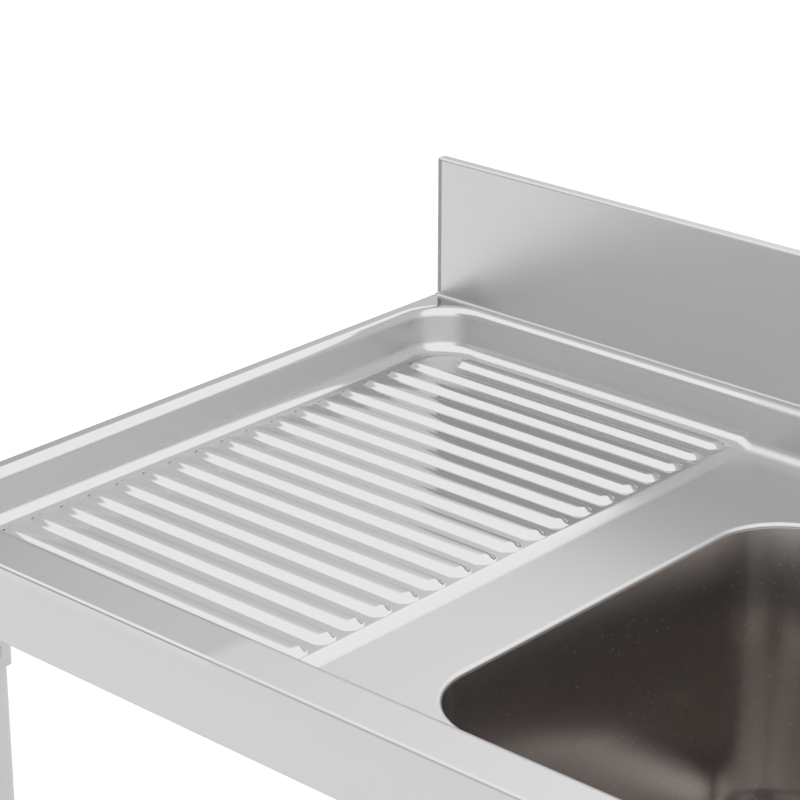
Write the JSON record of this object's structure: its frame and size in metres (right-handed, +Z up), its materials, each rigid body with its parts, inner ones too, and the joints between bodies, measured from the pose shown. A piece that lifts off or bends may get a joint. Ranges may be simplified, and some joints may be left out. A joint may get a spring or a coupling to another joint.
{
  "type": "sink table",
  "caption": "Free-standing stainless sink table with a sunk ribbed drainer on the left, a deep bowl, a splashback and screw feet.",
  "frame": {"origin": "on the floor under the middle of the table", "axes": "+X along the splashback towards the bowl end, +Y to the wall, +Z up"},
  "size_m": [1, 0.6, 0.97],
  "materials": {
    "pressed_steel": "bright polished pressed sheet",
    "satin_steel": "satin brushed sheet",
    "tube_steel": "brushed square tube",
    "screw_steel": "plain stainless fasteners",
    "waste_steel": "polished stainless",
    "black_plastic": "moulded, fine grain",
    "black_rubber": "matt rubber",
    "bitumen": "rough bitumen sheet"
  },
  "bodies": {
    "table": {"worktop": "pressed_steel", "splashback": "satin_steel", "bowl": "satin_steel", "skirt_front": "satin_steel", "skirt_back": "satin_steel", "skirt_left": "satin_steel", "skirt_right": "satin_steel", "drainer_channel_left": "satin_steel", "drainer_channel_right": "satin_steel", "deck_channel_left": "satin_steel", "deck_channel_right": "satin_steel", "tap_plate": "satin_steel", "damping_pad": "bitumen", "waste_body": "waste_steel", "waste_gasket": "black_rubber", "waste_washer": "black_rubber", "waste_nut": "black_plastic", "leg_socket_front_left": "tube_steel", "leg_socket_front_right": "tube_steel", "leg_socket_rear_left": "tube_steel", "leg_socket_rear_right": "tube_steel", "leg_front_left": "tube_steel", "leg_front_right": "tube_steel", "leg_rear_left": "tube_steel", "leg_rear_right": "tube_steel", "socket_screws": "screw_steel", "rail_left": "tube_steel", "rail_right": "tube_steel", "rail_back": "tube_steel", "rail_plugs": "screw_steel", "rail_bolts": "screw_steel", "foot_insert_front_left": "black_plastic", "foot_insert_front_right": "black_plastic", "foot_insert_rear_left": "black_plastic", "foot_insert_rear_right": "black_plastic"},
    "standpipe": {"standpipe": "waste_steel", "standpipe_seal": "black_rubber"},
    "foot_front_left": {"foot_pad_front_left": "black_plastic"},
    "spindle_front_left": {"foot_spindle_front_left": "screw_steel"},
    "foot_front_right": {"foot_pad_front_right": "black_plastic"},
    "spindle_front_right": {"foot_spindle_front_right": "screw_steel"},
    "foot_rear_left": {"foot_pad_rear_left": "black_plastic"},
    "spindle_rear_left": {"foot_spindle_rear_left": "screw_steel"},
    "foot_rear_right": {"foot_pad_rear_right": "black_plastic"},
    "spindle_rear_right": {"foot_spindle_rear_right": "screw_steel"}
  },
  "joints": [
    {"name": "standpipe_lift", "type": "slide", "parent": "table", "child": "standpipe", "axis": [0, 0, 1], "range_m": [0, 0.25]},
    {"name": "foot_travel_front_left", "type": "slide", "parent": "table", "child": "foot_front_left", "axis": [0, 0, -1], "range_m": [-0.01925, 0.02975]},
    {"name": "spindle_turn_front_left", "type": "hinge", "parent": "foot_front_left", "child": "spindle_front_left", "pos_m": [-0.458, -0.258, 0], "axis": [0, 0, -1], "range_deg": [-3960, 6120]},
    {"name": "foot_travel_front_right", "type": "slide", "parent": "table", "child": "foot_front_right", "axis": [0, 0, -1], "range_m": [-0.01925, 0.02975]},
    {"name": "spindle_turn_front_right", "type": "hinge", "parent": "foot_front_right", "child": "spindle_front_right", "pos_m": [0.458, -0.258, 0], "axis": [0, 0, -1], "range_deg": [-3960, 6120]},
    {"name": "foot_travel_rear_left", "type": "slide", "parent": "table", "child": "foot_rear_left", "axis": [0, 0, -1], "range_m": [-0.01925, 0.02975]},
    {"name": "spindle_turn_rear_left", "type": "hinge", "parent": "foot_rear_left", "child": "spindle_rear_left", "pos_m": [-0.458, 0.258, 0], "axis": [0, 0, -1], "range_deg": [-3960, 6120]},
    {"name": "foot_travel_rear_right", "type": "slide", "parent": "table", "child": "foot_rear_right", "axis": [0, 0, -1], "range_m": [-0.01925, 0.02975]},
    {"name": "spindle_turn_rear_right", "type": "hinge", "parent": "foot_rear_right", "child": "spindle_rear_right", "pos_m": [0.458, 0.258, 0], "axis": [0, 0, -1], "range_deg": [-3960, 6120]}
  ],
  "couplings": [
    {"joint": "spindle_turn_front_left", "follows": "foot_travel_front_left", "rad_per_m": 3590.4},
    {"joint": "spindle_turn_front_right", "follows": "foot_travel_front_right", "rad_per_m": 3590.4},
    {"joint": "spindle_turn_rear_left", "follows": "foot_travel_rear_left", "rad_per_m": 3590.4},
    {"joint": "spindle_turn_rear_right", "follows": "foot_travel_rear_right", "rad_per_m": 3590.4}
  ]
}
